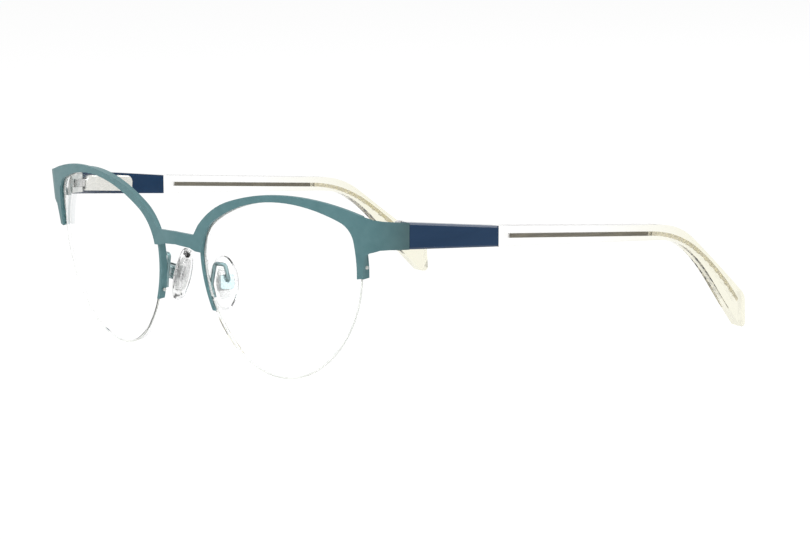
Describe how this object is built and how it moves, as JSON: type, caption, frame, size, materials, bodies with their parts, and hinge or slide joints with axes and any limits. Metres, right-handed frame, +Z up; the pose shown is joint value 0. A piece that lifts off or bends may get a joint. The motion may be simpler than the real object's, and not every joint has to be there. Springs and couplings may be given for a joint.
{
  "type": "half-rim eyeglasses with spring hinges",
  "caption": "Half-rim eyeglasses: teal metal brow front, lenses held below by nylon cord, adjustable nose pads, navy and clear temples that fold and flex on spring hinges.",
  "frame": {"origin": "centre of the footprint on the table, between the two temples and midway from the front to the temple tips", "axes": "+Z up, -Y the way the front faces, +X toward the wearer's left"},
  "size_m": [0.1384, 0.1451, 0.0463],
  "materials": {
    "teal_paint": "satin teal lacquer over metal",
    "grey_metal": "satin plated wire",
    "silver_metal": "satin nickel silver",
    "steel": "machined steel",
    "clear_nylon": "translucent nylon",
    "clear_lens": "polished clear demo lens",
    "clear_core": "clear moulded core",
    "clear_silicone": "soft clear silicone",
    "navy_acetate": "polished navy acetate",
    "wire_steel": "flat core wire",
    "crystal_acetate": "polished crystal acetate"
  },
  "bodies": {
    "frame": {"front_plate": "teal_paint", "left_eyewire": "teal_paint", "right_eyewire": "teal_paint", "left_lens_liner": "clear_nylon", "right_lens_liner": "clear_nylon", "left_lens": "clear_lens", "right_lens": "clear_lens", "left_nylon_cord": "clear_nylon", "right_nylon_cord": "clear_nylon", "left_pad_box": "grey_metal", "right_pad_box": "grey_metal", "left_pad_arm": "grey_metal", "right_pad_arm": "grey_metal", "left_pad_screw": "steel", "right_pad_screw": "steel", "left_front_hinge": "silver_metal", "right_front_hinge": "silver_metal", "left_hinge_screw": "steel", "right_hinge_screw": "steel"},
    "left_pad": {"left_pad_insert": "clear_core", "left_nose_pad": "clear_silicone"},
    "left_plunger": {"left_hinge_tongue": "steel"},
    "left_temple": {"left_spring_case": "silver_metal", "left_spring_bush": "steel", "left_hinge_spring": "steel", "left_temple_block": "navy_acetate", "left_core_wire": "wire_steel", "left_clear_arm": "crystal_acetate"},
    "right_pad": {"right_pad_insert": "clear_core", "right_nose_pad": "clear_silicone"},
    "right_plunger": {"right_hinge_tongue": "steel"},
    "right_temple": {"right_spring_case": "silver_metal", "right_spring_bush": "steel", "right_hinge_spring": "steel", "right_temple_block": "navy_acetate", "right_core_wire": "wire_steel", "right_clear_arm": "crystal_acetate"}
  },
  "joints": [
    {"name": "left_pad_rock", "type": "hinge", "parent": "frame", "child": "left_pad", "pos_m": [0.0115, -0.06464, 0.0213], "axis": [0.4472, 0.8944, 0], "range_deg": [-12, 12]},
    {"name": "left_fold", "type": "hinge", "parent": "frame", "child": "left_plunger", "pos_m": [0.06475, -0.05544, 0.03825], "axis": [0, 0, 1], "range_deg": [0, 90]},
    {"name": "left_spring_travel", "type": "slide", "parent": "left_plunger", "child": "left_temple", "axis": [0, 0.9957, -0.0924], "range_m": [0, 0.0008], "stiffness_N_per_m": 4000, "springref_m": -0.0005, "deforming": ["left_hinge_spring"]},
    {"name": "right_pad_rock", "type": "hinge", "parent": "frame", "child": "right_pad", "pos_m": [-0.0115, -0.06464, 0.0213], "axis": [-0.4472, 0.8944, 0], "range_deg": [-12, 12]},
    {"name": "right_fold", "type": "hinge", "parent": "frame", "child": "right_plunger", "pos_m": [-0.06475, -0.05544, 0.03825], "axis": [0, 0, -1], "range_deg": [0, 84]},
    {"name": "right_spring_travel", "type": "slide", "parent": "right_plunger", "child": "right_temple", "axis": [0, 0.9957, -0.0924], "range_m": [0, 0.0008], "stiffness_N_per_m": 4000, "springref_m": -0.0005, "deforming": ["right_hinge_spring"]}
  ]
}
